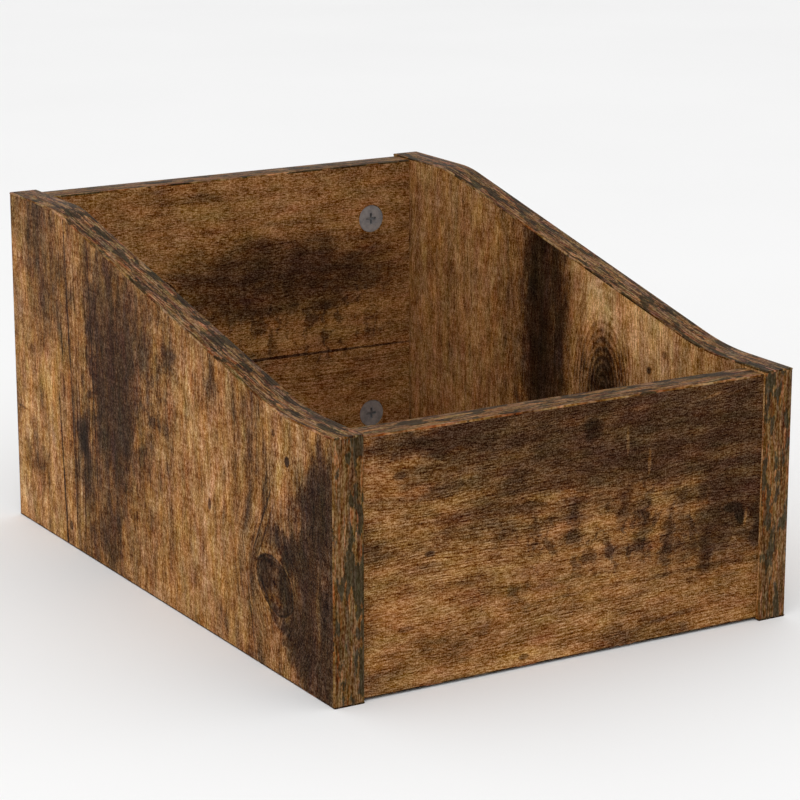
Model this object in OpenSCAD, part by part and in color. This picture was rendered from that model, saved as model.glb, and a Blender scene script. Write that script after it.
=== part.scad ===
// Record storage crate with scooped sides.
//
// Two shaped sides carry a front, a back and a bottom board. Each of these
// three boards is pulled to the sides by cam fittings and lined up by dowels,
// and every board edge that stays open is closed with a thin edging strip.
//
// X runs across the crate, Y from the front to the rear and Z up. The origin
// lies on the ground in the middle of the crate. Sizes are in millimetres.

/* [Crate] */
// Width over the two sides
crate_w = 242; // [180:1:420]
// Depth of the sides over their edging
crate_d = 335; // [270:1:480]
// Thickness of every board
board_t = 15; // [15:0.5:22]

/* [Side outline] */
// Height of a side at the front
front_h = 120; // [100:1:140]
// Height of a side at the rear
rear_h = 171; // [150:1:240]
// Level length of the top edge at the front
front_level = 33; // [15:1:70]
// Level length of the top edge at the rear
rear_level = 47; // [15:1:90]
// Radius of the hollow where the slope starts
hollow_r = 155; // [60:1:190]
// Radius of the crown where the slope ends
crown_r = 80; // [30:1:110]

/* [Front, back and bottom boards] */
// Distance of the front board behind the front of the sides
front_inset = 2; // [0:0.5:10]
// Distance of the back board before the rear of the sides
back_inset = 2; // [0:0.5:10]
// Step from the top of the sides down to the front board
front_step = 1.7; // [0:0.1:10]
// Step from the top of the sides down to the back board
back_step = 1; // [0:0.1:10]
// Gap between the ground and the front and back boards
wall_lift = 1; // [0.5:0.5:6]
// Gap between the ground and the bottom board
bottom_lift = 2; // [1:0.5:8]

/* [Edging] */
// Thickness of the edging strips
edging_t = 0.8; // [0.4:0.1:2]

/* [Cams] */
// Diameter of a cam's bore
cam_bore_d = 15; // [14:0.5:18]
// Play round a cam in its bore
cam_play = 0.2; // [0.1:0.05:0.4]
// Distance from a board's end to the middle of its cams
cam_setback = 24; // [22:1:34]
// Depth of a cam below the middle of the board
cam_seat = 5; // [4.5:0.1:6]
// Step from the board's face down to the cam's head
cam_sink = 0.3; // [0.1:0.1:1]
// Wall of a cam round its hollow
cam_wall = 2.1; // [1.5:0.1:2.6]
// Width of the arms of the driver cross
cross_w = 1.4; // [1:0.1:2]
// Span of the driver cross
cross_span = 6; // [4:0.5:8]
// Depth of the driver cross
cross_depth = 2.2; // [1:0.1:2.6]

/* [Cam bolts] */
// Diameter of the bore for a bolt in a side
bolt_bore_d = 5; // [4:0.5:6]
// Play round a bolt in that bore
bolt_play = 0.1; // [0.05:0.05:0.3]
// Length of the screwed end
screw_l = 10.5; // [7:0.5:12]
// Room past the tip of the screwed end
screw_room = 0.5; // [0.2:0.1:1]
// Chamfer on the tip of the screwed end
screw_chamfer = 0.5; // [0.2:0.1:1]
// Diameter of the way for a bolt in a board's end
bolt_way_d = 8; // [7.5:0.1:9]
// Diameter of the collar that stops on the side
collar_d = 7.4; // [6.8:0.1:7.4]
// Thickness of the collar
collar_t = 1; // [0.6:0.1:2]
// Diameter of the shank
shank_d = 6; // [5:0.1:6.6]
// Diameter of the neck
neck_d = 4; // [3:0.1:4.4]
// Diameter of the head
head_d = 6.8; // [6:0.1:7.2]
// Length of the head
head_l = 3; // [2:0.1:4]
// Play round the head and the neck in a cam
slot_play = 0.2; // [0.1:0.05:0.4]

/* [Dowels] */
// Diameter of a dowel
dowel_d = 8; // [6:0.5:9]
// Length of a dowel
dowel_l = 30; // [25:1:38]
// Length of a dowel inside the side
dowel_in_side = 10; // [7:0.5:11]
// Play round a dowel in its bore
dowel_play = 0.1; // [0.05:0.05:0.3]
// Glue room past each end of a dowel
glue_room = 1; // [0.5:0.1:2]
// Chamfer on the ends of a dowel
dowel_chamfer = 1; // [0.5:0.1:2]
// Number of glue flutes along a dowel
flutes = 10; // [6:1:14]
// Diameter of a glue flute
flute_d = 1; // [0.6:0.1:1.4]

/* [Fastener places] */
// Distance from the front and back boards' top and bottom to their cams
wall_margin = 30; // [28:1:40]
// Distance from the bottom board's front and rear to its cams
bottom_margin = 40; // [25:1:70]
// Distance between a cam and the dowel beside it
dowel_pitch = 32; // [20:1:40]

/* [Hidden] */
board_colour = "#8a6038";
edging_colour = "#5f4029";
cam_colour = "#a9abad";
bolt_colour = "#c2c4c6";
dowel_colour = "#d9b98a";

$fn = 96;

// Run-out of a cutter past the face where it starts
run_out = 1;

// Inner faces of the sides
inner_x = crate_w / 2 - board_t;

// Front and back boards: middle plane, bottom and top over the edging
front_y = -crate_d / 2 + front_inset + board_t / 2;
back_y = crate_d / 2 - back_inset - board_t / 2;
front_top = front_h - front_step;
back_top = rear_h - back_step;

// Bottom board: middle plane, middle and length between the front and back
bottom_z = bottom_lift + board_t / 2;
bottom_d = back_y - front_y - board_t;
bottom_y = (front_y + back_y) / 2;

// Top edge of a side: the slope is the common tangent of the hollow, whose
// middle lies above the edge, and the crown, whose middle lies below it
hollow_mid = [-crate_d / 2 + front_level, front_h + hollow_r];
crown_mid = [crate_d / 2 - rear_level, rear_h - crown_r];
mid_gap = crown_mid - hollow_mid;
slope = atan2(mid_gap[0], -mid_gap[1]) - acos((hollow_r + crown_r) / norm(mid_gap));
level_normal = [0, 1];
slope_normal = [-sin(slope), cos(slope)];

// Cam and bolt: the jaws of the cam's hollow bear on the back of the bolt's
// head, above and below the slot that the neck passes through
cam_r = cam_bore_d / 2 - cam_play;
slot_h = neck_d + 2 * slot_play;
hollow_h = head_d + 2 * slot_play;
jaw_half_w = sqrt(pow(head_d / 2, 2) - pow(slot_h / 2, 2));
cam_hollow_r = cam_r - cam_wall;
cam_hollow_x = head_l / 2 + slot_play - sqrt(pow(cam_hollow_r, 2) - pow(jaw_half_w, 2));
shank_end = cam_setback - cam_bore_d / 2;

// Places of the fasteners on a side, as [y, z]
function wall_cams(y, top) = [for (z = [wall_lift + wall_margin, top - wall_margin]) [y, z]];
front_cams = wall_cams(front_y, front_top);
front_dowels = [(front_cams[0] + front_cams[1]) / 2];
back_cams = wall_cams(back_y, back_top);
back_dowels = [back_cams[0] + [0, dowel_pitch], back_cams[1] - [0, dowel_pitch]];
bottom_reach = bottom_d / 2 - bottom_margin;
bottom_cams = [for (end = [-1, 1]) [bottom_y + end * bottom_reach, bottom_z]];
bottom_dowels = [for (end = [-1, 1]) [bottom_y + end * (bottom_reach - dowel_pitch), bottom_z]];

// Turns that point a cam's head to the inside of the front and back boards
// and to the underside of the bottom board
front_facing = [-90, 0, 0];
back_facing = [90, 0, 0];
bottom_facing = [180, 0, 0];

// ---- Shared shapes ----

// Slice of a disc between the level's and the slope's normals, taken to the
// side of the middle that sign says
module slice(r, sign) {
    reach = 2 * r * sign;
    intersection() {
        circle(r = r);
        polygon([[0, 0], reach * level_normal, reach * slope_normal]);
    }
}

// Area below the top edge of a side, with the edge lowered by depth
module area_below_top(depth) {
    difference() {
        union() {
            polygon([
                [-crate_d / 2, 0],
                [crate_d / 2, 0],
                [crate_d / 2, rear_h - depth],
                crown_mid + (crown_r - depth) * level_normal,
                crown_mid + (crown_r - depth) * slope_normal,
                hollow_mid - (hollow_r + depth) * slope_normal,
                hollow_mid - (hollow_r + depth) * level_normal,
                [-crate_d / 2, front_h - depth]
            ]);
            translate(crown_mid) slice(crown_r - depth, 1);
        }
        translate(hollow_mid) slice(hollow_r + depth, -1);
    }
}

// Gives an outline drawn in Y and Z the thickness of the right side
module right_side_plate() {
    translate([inner_x, 0, 0]) rotate([90, 0, 90]) linear_extrude(board_t) children();
}

// Puts a copy at each place on the inner faces of the two sides. A copy's X
// axis points into the side and its Z axis along facing.
module at_both_ends(places, facing = [0, 0, 0]) {
    for (end = [1, -1], place = places)
        translate([end * inner_x, place[0], place[1]])
            rotate(facing)
                rotate([0, 0, end > 0 ? 0 : 180])
                    children();
}

// Cylinder along X, between two distances from the inner face of a side
module rod(d, from, to) {
    translate([from, 0, 0]) rotate([0, 90, 0]) cylinder(d = d, h = to - from);
}

// ---- Fasteners, drawn from the point where they cross a side's inner face ----

// Cam: a drum with an off-centre hollow that is open towards the board's
// middle, a slot for the bolt's neck and a cross for the driver
module cam() {
    head_z = board_t / 2 - cam_sink;
    translate([-cam_setback, 0, 0]) difference() {
        translate([0, 0, -cam_seat]) cylinder(r = cam_r, h = cam_seat + head_z);
        translate([cam_hollow_x, 0, -hollow_h / 2]) cylinder(r = cam_hollow_r, h = hollow_h);
        translate([0, -hollow_h / 2, -slot_h / 2]) cube([cam_bore_d, cam_bore_d, slot_h]);
        for (turn = [0, 90])
            rotate([0, 0, turn])
                translate([-cross_span / 2, -cross_w / 2, head_z - cross_depth])
                    cube([cross_span, cross_w, cross_depth + run_out]);
    }
}

// Bolt: screwed end, collar on the side's face, shank, neck and head
module cam_bolt() {
    screw_r = bolt_bore_d / 2 - bolt_play;
    head_start = cam_setback - head_l / 2;
    rotate([0, 90, 0]) rotate_extrude() polygon([
        [0, screw_l],
        [screw_r - screw_chamfer, screw_l],
        [screw_r, screw_l - screw_chamfer],
        [screw_r, 0],
        [collar_d / 2, 0],
        [collar_d / 2, -collar_t],
        [shank_d / 2, -collar_t],
        [shank_d / 2, -shank_end],
        [neck_d / 2, -shank_end],
        [neck_d / 2, -head_start],
        [head_d / 2, -head_start],
        [head_d / 2, -head_start - head_l],
        [0, -head_start - head_l]
    ]);
}

// Dowel: chamfered pin with glue flutes along its length
module dowel() {
    r = dowel_d / 2;
    inner_end = dowel_in_side - dowel_l;
    difference() {
        rotate([0, 90, 0]) rotate_extrude() polygon([
            [0, dowel_in_side],
            [r - dowel_chamfer, dowel_in_side],
            [r, dowel_in_side - dowel_chamfer],
            [r, inner_end + dowel_chamfer],
            [r - dowel_chamfer, inner_end],
            [0, inner_end]
        ]);
        for (flute = [0 : flutes - 1])
            rotate([flute * 360 / flutes, 0, 0])
                translate([0, 0, r])
                    rod(flute_d, inner_end - run_out, dowel_in_side + run_out);
    }
}

// ---- Bores ----

module cam_bore() {
    translate([-cam_setback, 0, -cam_seat]) cylinder(d = cam_bore_d, h = cam_seat + board_t);
    rod(bolt_way_d, -cam_setback, run_out);
}

module dowel_bore_in_board() {
    rod(dowel_d + 2 * dowel_play, dowel_in_side - dowel_l - glue_room, run_out);
}

module dowel_bore_in_side() {
    rod(dowel_d + 2 * dowel_play, -run_out, dowel_in_side + glue_room);
}

module bolt_bore_in_side() {
    rod(bolt_bore_d, -run_out, screw_l + screw_room);
}

// ---- Sides ----

module right_side_board() {
    difference() {
        right_side_plate() intersection() {
            area_below_top(edging_t);
            translate([-crate_d / 2 + edging_t, edging_t])
                square([crate_d - 2 * edging_t, rear_h]);
        }
        at_both_ends(concat(front_cams, back_cams, bottom_cams)) bolt_bore_in_side();
        at_both_ends(concat(front_dowels, back_dowels, bottom_dowels)) dowel_bore_in_side();
    }
}

// Strip that follows the level, the hollow, the slope and the crown
module right_side_top_strip() {
    right_side_plate() difference() {
        area_below_top(0);
        area_below_top(edging_t);
    }
}

module right_side_bottom_strip() {
    translate([inner_x, -crate_d / 2, 0]) cube([board_t, crate_d, edging_t]);
}

// Upright strip between the bottom and top strips, with its front at y
module right_side_upright_strip(y, h) {
    translate([inner_x, y, edging_t]) cube([board_t, edging_t, h - 2 * edging_t]);
}

module right_side_panel() {
    color(board_colour) right_side_board();
}

module right_side_top_edging() {
    color(edging_colour) right_side_top_strip();
}

module right_side_front_edging() {
    color(edging_colour) right_side_upright_strip(-crate_d / 2, front_h);
}

module right_side_rear_edging() {
    color(edging_colour) right_side_upright_strip(crate_d / 2 - edging_t, rear_h);
}

module right_side_bottom_edging() {
    color(edging_colour) right_side_bottom_strip();
}

module left_side_panel() {
    color(board_colour) mirror([1, 0, 0]) right_side_board();
}

module left_side_top_edging() {
    color(edging_colour) mirror([1, 0, 0]) right_side_top_strip();
}

module left_side_front_edging() {
    color(edging_colour) mirror([1, 0, 0])
        right_side_upright_strip(-crate_d / 2, front_h);
}

module left_side_rear_edging() {
    color(edging_colour) mirror([1, 0, 0])
        right_side_upright_strip(crate_d / 2 - edging_t, rear_h);
}

module left_side_bottom_edging() {
    color(edging_colour) mirror([1, 0, 0]) right_side_bottom_strip();
}

// ---- Front and back boards ----

// Upright board between the sides, from bottom to top, round the plane y
module upright_board(y, bottom, top) {
    translate([-inner_x, y - board_t / 2, bottom])
        cube([2 * inner_x, board_t, top - bottom]);
}

module front_panel() {
    color(board_colour) difference() {
        upright_board(front_y, wall_lift + edging_t, front_top - edging_t);
        at_both_ends(front_cams, front_facing) cam_bore();
        at_both_ends(front_dowels) dowel_bore_in_board();
    }
}

module front_panel_top_edging() {
    color(edging_colour) upright_board(front_y, front_top - edging_t, front_top);
}

module front_panel_bottom_edging() {
    color(edging_colour) upright_board(front_y, wall_lift, wall_lift + edging_t);
}

module front_panel_cams() {
    color(cam_colour) at_both_ends(front_cams, front_facing) cam();
}

module front_panel_cam_bolts() {
    color(bolt_colour) at_both_ends(front_cams) cam_bolt();
}

module front_panel_dowels() {
    color(dowel_colour) at_both_ends(front_dowels) dowel();
}

module back_panel() {
    color(board_colour) difference() {
        upright_board(back_y, wall_lift + edging_t, back_top - edging_t);
        at_both_ends(back_cams, back_facing) cam_bore();
        at_both_ends(back_dowels) dowel_bore_in_board();
    }
}

module back_panel_top_edging() {
    color(edging_colour) upright_board(back_y, back_top - edging_t, back_top);
}

module back_panel_bottom_edging() {
    color(edging_colour) upright_board(back_y, wall_lift, wall_lift + edging_t);
}

module back_panel_cams() {
    color(cam_colour) at_both_ends(back_cams, back_facing) cam();
}

module back_panel_cam_bolts() {
    color(bolt_colour) at_both_ends(back_cams) cam_bolt();
}

module back_panel_dowels() {
    color(dowel_colour) at_both_ends(back_dowels) dowel();
}

// ---- Bottom board ----

module bottom_panel() {
    color(board_colour) difference() {
        translate([-inner_x, bottom_y - bottom_d / 2, bottom_lift])
            cube([2 * inner_x, bottom_d, board_t]);
        at_both_ends(bottom_cams, bottom_facing) cam_bore();
        at_both_ends(bottom_dowels) dowel_bore_in_board();
    }
}

module bottom_panel_cams() {
    color(cam_colour) at_both_ends(bottom_cams, bottom_facing) cam();
}

module bottom_panel_cam_bolts() {
    color(bolt_colour) at_both_ends(bottom_cams) cam_bolt();
}

module bottom_panel_dowels() {
    color(dowel_colour) at_both_ends(bottom_dowels) dowel();
}

left_side_panel();
left_side_top_edging();
left_side_front_edging();
left_side_rear_edging();
left_side_bottom_edging();
right_side_panel();
right_side_top_edging();
right_side_front_edging();
right_side_rear_edging();
right_side_bottom_edging();
front_panel();
front_panel_top_edging();
front_panel_bottom_edging();
front_panel_cams();
front_panel_cam_bolts();
front_panel_dowels();
back_panel();
back_panel_top_edging();
back_panel_bottom_edging();
back_panel_cams();
back_panel_cam_bolts();
back_panel_dowels();
bottom_panel();
bottom_panel_cams();
bottom_panel_cam_bolts();
bottom_panel_dowels();
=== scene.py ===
# Looks, camera and light for the record storage crate.
import math

import bpy
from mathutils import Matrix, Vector


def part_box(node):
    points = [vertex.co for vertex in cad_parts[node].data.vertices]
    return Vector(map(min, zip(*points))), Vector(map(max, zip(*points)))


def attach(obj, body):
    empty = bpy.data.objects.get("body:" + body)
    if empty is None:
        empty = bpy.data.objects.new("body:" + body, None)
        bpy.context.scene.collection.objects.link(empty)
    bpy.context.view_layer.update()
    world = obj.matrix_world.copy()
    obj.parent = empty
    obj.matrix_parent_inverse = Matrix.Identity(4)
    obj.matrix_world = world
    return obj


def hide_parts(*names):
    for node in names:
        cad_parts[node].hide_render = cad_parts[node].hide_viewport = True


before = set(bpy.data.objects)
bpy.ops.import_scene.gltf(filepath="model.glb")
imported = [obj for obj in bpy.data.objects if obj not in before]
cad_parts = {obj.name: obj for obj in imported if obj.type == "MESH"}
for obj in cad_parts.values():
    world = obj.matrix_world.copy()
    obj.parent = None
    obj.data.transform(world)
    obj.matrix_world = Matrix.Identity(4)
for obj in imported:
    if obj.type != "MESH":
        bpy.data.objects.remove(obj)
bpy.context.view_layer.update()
print("frame: %d nodes" % len(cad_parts))

# The camera comes first: the photograph's viewing angle, pitched, no shift, no depth of field
view = {
    "place": (-0.6856, -1.1751, 0.4381),
    "yaw": 30.657,  # degrees from straight at the front board towards the right side
    "pitch": 14.624,  # degrees down
    "lens": 129.3,
    "sensor": 36,
}
cameraData = bpy.data.cameras.new("crateCamera")
cameraData.lens = view["lens"]
cameraData.sensor_width = view["sensor"]
camera = bpy.data.objects.new("crateCamera", cameraData)
camera.location = view["place"]
camera.rotation_euler = (math.radians(90 - view["pitch"]), 0, math.radians(-view["yaw"]))
bpy.context.scene.collection.objects.link(camera)
bpy.context.scene.camera = camera
print("camera set")


bumpStrength = 0.6


# Small helpers for shader trees. A socket is linked, a plain value is typed into the slot.
def feed(tree, slot, value):
    if isinstance(value, bpy.types.NodeSocket):
        tree.links.new(value, slot)
    else:
        slot.default_value = value


def calc(tree, operation, *values):
    node = tree.nodes.new("ShaderNodeMath")
    node.operation = operation
    for slot, value in zip(node.inputs, values):
        feed(tree, slot, value)
    return node.outputs[0]


def calcVector(tree, operation, *values):
    node = tree.nodes.new("ShaderNodeVectorMath")
    node.operation = operation
    for slot, value in zip(node.inputs, values):
        feed(tree, slot, value)
    return node.outputs["Value" if operation in ("DISTANCE", "DOT_PRODUCT") else "Vector"]


def spread(tree, value, low, high, toLow=0.0, toHigh=1.0):
    # smooth step from low..high to toLow..toHigh
    node = tree.nodes.new("ShaderNodeMapRange")
    node.interpolation_type = "SMOOTHSTEP"
    for name, part in (("Value", value), ("From Min", low), ("From Max", high),
                       ("To Min", toLow), ("To Max", toHigh)):
        feed(tree, node.inputs[name], part)
    return node.outputs[0]


def cloud(tree, place, noise, seed=(0, 0, 0), colour=False):
    # noise holds its cell's size in millimetres, its detail and its roughness
    size, detail, rough = noise
    stretched = calcVector(tree, "MULTIPLY_ADD", place, tuple(1 / part for part in size), seed)
    node = tree.nodes.new("ShaderNodeTexNoise")
    node.inputs["Scale"].default_value = 1
    node.inputs["Detail"].default_value = detail
    node.inputs["Roughness"].default_value = rough
    tree.links.new(stretched, node.inputs["Vector"])
    return node.outputs["Color" if colour else 0]


def centredCloud(tree, place, noise, seed):
    # three noises at once, each round 0
    return calcVector(tree, "SUBTRACT", cloud(tree, place, noise, seed, True), (0.5, 0.5, 0.5))


# Half width of the range round a noise's middle that crisp stretches to the whole of 0 to 1
stretch = {"fine": 0.14, "broad": 0.2}


def crisp(tree, layer, kind):
    # makes the light and dark parts of a noise stand out
    return spread(tree, layer, 0.5 - stretch[kind], 0.5 + stretch[kind])


def moved(seed, shift):
    # another stretch of the same noise
    return [part + step for part, step in zip(seed, shift)]


def addTo(tree, tone, layer, amount):
    # noise is centred on 0.5, so the tone stays where it is on average
    centred = calc(tree, "SUBTRACT", layer, 0.5)
    return calc(tree, "MULTIPLY_ADD", centred, amount, tone)


def partOf(tree, vector, letter):
    node = tree.nodes.new("ShaderNodeSeparateXYZ")
    tree.links.new(vector, node.inputs[0])
    return node.outputs[letter]


def millimetres(tree, order):
    # object coordinates in millimetres, put in the order along, across, through
    source = tree.nodes.new("ShaderNodeTexCoord")
    apart = tree.nodes.new("ShaderNodeSeparateXYZ")
    tree.links.new(source.outputs["Object"], apart.inputs[0])
    joined = tree.nodes.new("ShaderNodeCombineXYZ")
    for slot, letter in zip(joined.inputs, order):
        tree.links.new(apart.outputs[letter], slot)
    return calcVector(tree, "MULTIPLY", joined.outputs[0], (1000, 1000, 1000))


def seen(shade):
    # screen colour, 0 to 255, as it is
    return [part / 255 for part in shade] + [1]


def linear(shade):
    # screen colour to the linear values that Blender takes
    parts = [part / 255 for part in shade]
    return [p / 12.92 if p < 0.04045 else ((p + 0.055) / 1.055) ** 2.4 for p in parts] + [1]


def rampOf(tree, value, stops, asSeen=False):
    # asSeen keeps screen colours as they are, until toLight
    node = tree.nodes.new("ShaderNodeValToRGB")
    points = node.color_ramp.elements
    while len(points) < len(stops):
        points.new(0.5)
    for point, (position, shade) in zip(points, stops):
        point.position = position
        point.color = seen(shade) if asSeen else linear(shade)
    tree.links.new(value, node.inputs[0])
    return node.outputs[0]


def toLight(tree, shade):
    # screen colours to linear ones, none of them quite black
    node = tree.nodes.new("ShaderNodeGamma")
    node.inputs["Gamma"].default_value = 2.2
    feed(tree, node.inputs["Color"], calcVector(tree, "MAXIMUM", shade, (0.02, 0.02, 0.02)))
    return node.outputs[0]


def blendOf(tree, factor, first, second):
    node = tree.nodes.new("ShaderNodeMix")
    node.data_type = "RGBA"
    feed(tree, node.inputs[0], factor)
    feed(tree, node.inputs[6], first)
    feed(tree, node.inputs[7], second)
    return node.outputs[2]


def newFinish(name, specular, metallic=0.0):
    material = bpy.data.materials.new(name)
    material.use_nodes = True
    shader = material.node_tree.nodes["Principled BSDF"]
    shader.inputs["Specular IOR Level"].default_value = specular
    shader.inputs["Metallic"].default_value = metallic
    return material, material.node_tree, shader


def closeFinish(tree, shader, shade, roughness, height, depth):
    # depth is the bump's height in millimetres
    feed(tree, shader.inputs["Base Color"], shade)
    feed(tree, shader.inputs["Roughness"], roughness)
    bump = tree.nodes.new("ShaderNodeBump")
    bump.inputs["Strength"].default_value = bumpStrength
    bump.inputs["Distance"].default_value = depth / 1000
    tree.links.new(height, bump.inputs["Height"])
    tree.links.new(bump.outputs[0], shader.inputs["Normal"])


def wear(node, material):
    node.data.materials.clear()
    node.data.materials.append(material)


# The boards' printed plank decor
decor = {
    "specular": 0.015,
    "roughness": (0.45, 0.56),  # where it is burnt and where it is bleached
    "relief": 0.1,  # millimetres
    "skin": 0.15,  # millimetres of print, chipboard shows below it
    "level": 0.64,  # tone before any stain, 0 is burnt and 1 is bleached
    "clouds": 0.30,
    "mottle": 0.44,
    "streaks": 0.10,
    "stainLimit": 0.45,  # stains that overlap get no darker than this
    "calm": 0.5,  # share of the noise that is left inside them
    "unevenSoft": 0.35,  # softer marks than this have an uneven edge, the others a wavy one
    "raggedSoft": 0.45,  # softer ones than this are ragged stains,
    "raggedFrom": 7,  # if they have at least this half width, in millimetres
    "markDepth": 5,  # millimetres that a mark reaches into the board
    "torn": (50, 38, 0),  # millimetres that the edges of ragged stains are pulled about
    "frayed": (11, 9, 0),  # of uneven marks
    "wavy": (3, 1.8, 0),  # of wavy marks
    "wander": (0, 9, 0),  # and the grain
    "knotReach": 3.2,  # the grain makes way for a knot over this many of its half widths
    "flowEdge": (0.1, 1.0),  # where these five fade out, 1 is the edge itself
    "knotEdge": (0.86, 1.04),
    "ringsEdge": (0.9, 1.9),
    "plankEdge": (0.94, 1.06),
    "cutEdge": (0.97, 1.03),
    "knotRim": 0.9,  # share of the knot's darkness
    "rimWidth": 0.07,
    "grain": 0.17,  # from here on shares of full brightness
    "speckle": 0.17,
    "pores": 0.10,
    "saw": 0.04,
    "tint": 0.09,
    "yellow": 0.7,  # how much more of the tint goes into blue on a lively board
    "darks": (0.1, 0.6),  # tones that are wholly dark and no longer dark
    "darkGrain": 0.42,  # share of the grain, of the speckle and of the tint that the darks keep
    "darkSpeckle": 0.68,
    "darkTint": 1.35,
    "drift": 14,  # radians that the striped grain wanders
    "stripedFrom": (0.38, 0.56),  # noise below and above which the stripes are gone and full
    "smudgedFrom": (0.50, 0.64),
    "poresFrom": (0.56, 0.66),
    "poreDepth": 0.6,  # against the grain's relief
    "chipsPerMillimetre": 0.9,
    "huesApart": (7, 0, 0),  # keeps the hues off the other noises
    "noise": {  # cell in millimetres along, across and through the board, detail, roughness
        "wander": ((70, 30, 9), 1, 0.5),
        "torn": ((26, 18, 12), 5, 0.62),
        "frayed": ((9, 6, 7), 4, 0.6),
        "clouds": ((70, 30, 9), 4, 0.6),
        "mottle": ((13, 7, 6), 3, 0.55),
        "streaks": ((110, 4.6, 6), 3, 0.6),
        "smudges": ((5, 10, 5), 3, 0.6),
        "grain": ((2.6, 0.56, 5), 1, 0.7),
        "speckle": ((0.75, 0.7, 4), 1, 0.7),
        "pores": ((9, 0.6, 5), 1, 0.5),
        "saw": ((1.1, 18, 5), 2, 0.6),
        "drift": ((40, 5, 5), 2, 0.5),
        "striped": ((36, 8, 5), 2, 0.6),
        "hues": ((20, 8, 5), 4, 0.62),
    },
    "shades": [
        (0.00, (40, 29, 20)),
        (0.15, (50, 35, 23)),
        (0.30, (66, 46, 31)),
        (0.42, (90, 63, 39)),
        (0.55, (122, 85, 50)),
        (0.68, (147, 105, 64)),
        (0.82, (170, 126, 80)),
        (1.00, (206, 160, 110)),
    ],
    "chips": [(0.25, (96, 72, 46)), (0.5, (150, 116, 76)), (0.75, (190, 156, 110))],
}


def facesOf(board):
    # where the outer and the inner face lie, in millimetres through the board
    through = "XYZ".index(board["order"][2])
    low, high = [1000 * corner[through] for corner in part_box(board["node"])]
    return {"outer": low, "inner": high} if board["outward"] < 0 else {"outer": high, "inner": low}


def fromOval(tree, place, faces, mark, swell=1.0):
    # 0 at the middle of the mark's oval, 1 on its rim
    face, along, across, length, width, turn = mark[:6]
    centre = Vector((along, across, faces[face]))
    size = (length * swell, width * swell, decor["markDepth"])
    if turn:
        lean = math.radians(turn)
        axes = ((math.cos(lean), math.sin(lean), 0), (-math.sin(lean), math.cos(lean), 0), (0, 0, 1))
        turned = tree.nodes.new("ShaderNodeCombineXYZ")
        for slot, axis in zip(turned.inputs, axes):
            tree.links.new(calcVector(tree, "DOT_PRODUCT", place, axis), slot)
        place = turned.outputs[0]
        centre = [Vector(axis).dot(centre) for axis in axes]
    scaled = calcVector(tree, "MULTIPLY", place, [1 / part for part in size])
    return calcVector(tree, "DISTANCE", scaled, [a / b for a, b in zip(centre, size)])


def fade(tree, place, faces, mark):
    # the mark's last value inside its oval and 0 outside, the value before it says how soft the edge is
    soft, dark = mark[6:]
    return spread(tree, fromOval(tree, place, faces, mark), 1 - soft, 1 + soft, dark, 0.0)


def inDarks(tree, tone, share):
    # share in the darks, rising to 1 in the lighter shades
    return spread(tree, tone, *decor["darks"], share, 1.0)


def grainFlow(tree, place, faces, board):
    # the grain wanders a little and flows round the knots
    offsets = centredCloud(tree, place, decor["noise"]["wander"], board["seed"])
    flow = calcVector(tree, "MULTIPLY_ADD", offsets, decor["wander"], place)
    for knot in board["knots"]:
        across, push = knot[2], knot[6]
        near = fromOval(tree, place, faces, knot, decor["knotReach"])
        hold = spread(tree, near, *decor["flowEdge"], push, 0.0)
        pull = calcVector(tree, "MULTIPLY_ADD", flow, (0, -1, 0), (0, across, 0))
        flow = calcVector(tree, "MULTIPLY_ADD", pull, hold, flow)
    return flow


def figureOf(tree, flow, board):
    # the broad light and dark of the planks, without their marks
    noise = decor["noise"]
    seed = board["seed"]
    lively = board["lively"]
    mottle = cloud(tree, flow, noise["mottle"], seed)
    streaks = crisp(tree, cloud(tree, flow, noise["streaks"], seed), "broad")
    figure = addTo(tree, 0.0, cloud(tree, flow, noise["clouds"], seed), decor["clouds"])
    figure = addTo(tree, figure, mottle, decor["mottle"] * lively)
    return addTo(tree, figure, streaks, decor["streaks"] * lively)


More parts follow.
